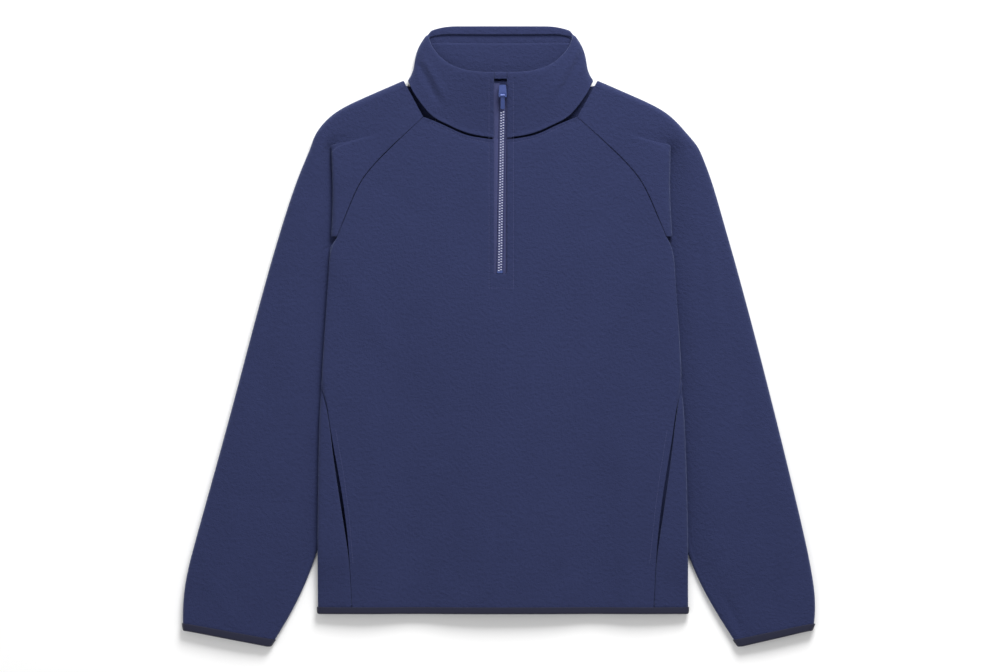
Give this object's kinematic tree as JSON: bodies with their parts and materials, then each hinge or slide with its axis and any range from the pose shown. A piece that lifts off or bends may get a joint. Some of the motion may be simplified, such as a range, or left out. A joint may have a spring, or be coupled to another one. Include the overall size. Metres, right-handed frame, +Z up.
{
  "type": "half-zip fleece sweatshirt",
  "caption": "Half-zip raglan fleece sweatshirt laid flat on its back, with stand collar, side slit pockets and bound hem and cuffs; the pull tab of the zip turns",
  "frame": {"origin": "middle of the garment's outline as seen from above, on the surface it lies on", "axes": "+Z up out of the front of the garment, +Y towards the collar, +X towards the viewer's right, which is the wearer's left"},
  "size_m": [0.7632, 0.7462, 0.0301],
  "materials": {
    "fleece": "brushed pile",
    "binding": "smooth knit",
    "tape": "woven",
    "teeth": "satin",
    "zip_metal": "satin"
  },
  "bodies": {
    "garment": {"front": "fleece", "back": "fleece", "side_left": "fleece", "side_right": "fleece", "sleeve_left": "fleece", "sleeve_right": "fleece", "collar": "fleece", "collar_facing": "fleece", "zip_garage": "fleece", "hem_binding": "binding", "cuff_binding_left": "binding", "cuff_binding_right": "binding", "pocket_bag_left": "tape", "pocket_bag_right": "tape", "zip_tape_left": "tape", "zip_tape_right": "tape", "zip_chain": "teeth", "zip_stop": "zip_metal", "zip_slider": "zip_metal"},
    "pull": {"zip_pull": "zip_metal"}
  },
  "joints": [
    {"name": "pull_turn", "type": "hinge", "parent": "garment", "child": "pull", "pos_m": [0.0048, 0.28807, 0.0281], "axis": [-1, 0, 0], "range_deg": [0, 150]}
  ]
}
